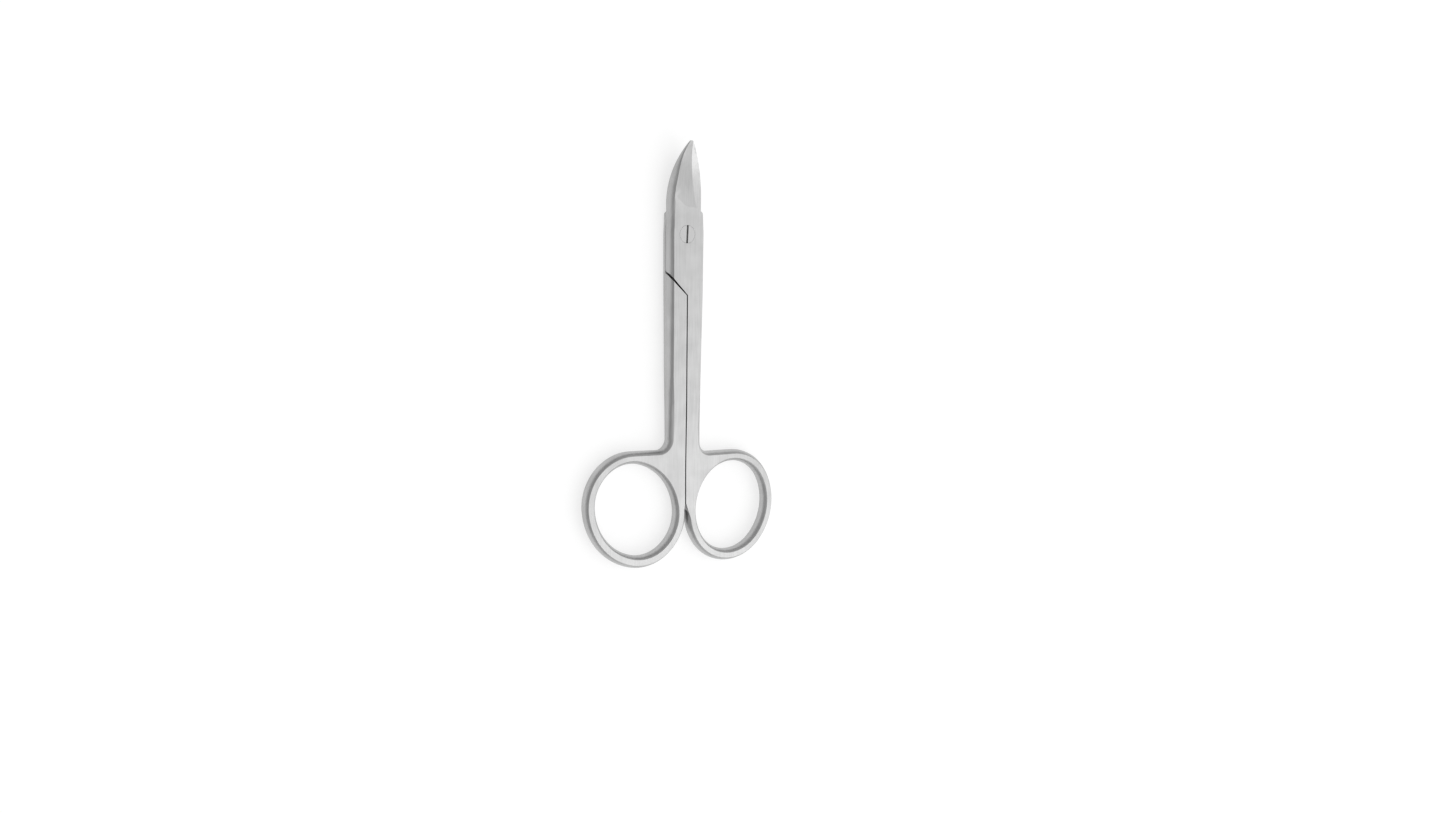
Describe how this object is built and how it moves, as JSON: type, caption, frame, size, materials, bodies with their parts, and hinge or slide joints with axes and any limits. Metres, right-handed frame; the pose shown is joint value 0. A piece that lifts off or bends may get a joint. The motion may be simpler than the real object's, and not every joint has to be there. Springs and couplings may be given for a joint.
{
  "type": "crown_scissors",
  "caption": "Crown scissors with short curved blades: forged halves crossing in a half-lap joint on a slotted pivot screw, shanks side by side to finger rings",
  "frame": {"origin": "on the pivot screw's axis, in the plane of the joint's flat underside, which the scissors rest on", "axes": "+X across the scissors towards the upper half's finger ring, +Y along the closed scissors to the blade tips, +Z along the screw's axis out of the slotted head"},
  "size_m": [0.0536, 0.1029, 0.0063],
  "materials": {
    "satin_steel": "satin ground stainless steel",
    "screw_steel": "turned stainless steel, dressed flush with the joint"
  },
  "bodies": {
    "upper": {"upper_half": "satin_steel"},
    "lower": {"lower_half": "satin_steel", "pivot_screw": "screw_steel"}
  },
  "joints": [
    {"name": "pivot", "type": "hinge", "parent": "upper", "child": "lower", "pos_m": [0, 0, 0.00243], "axis": [0, 0, -1], "range_deg": [0, 100]}
  ]
}
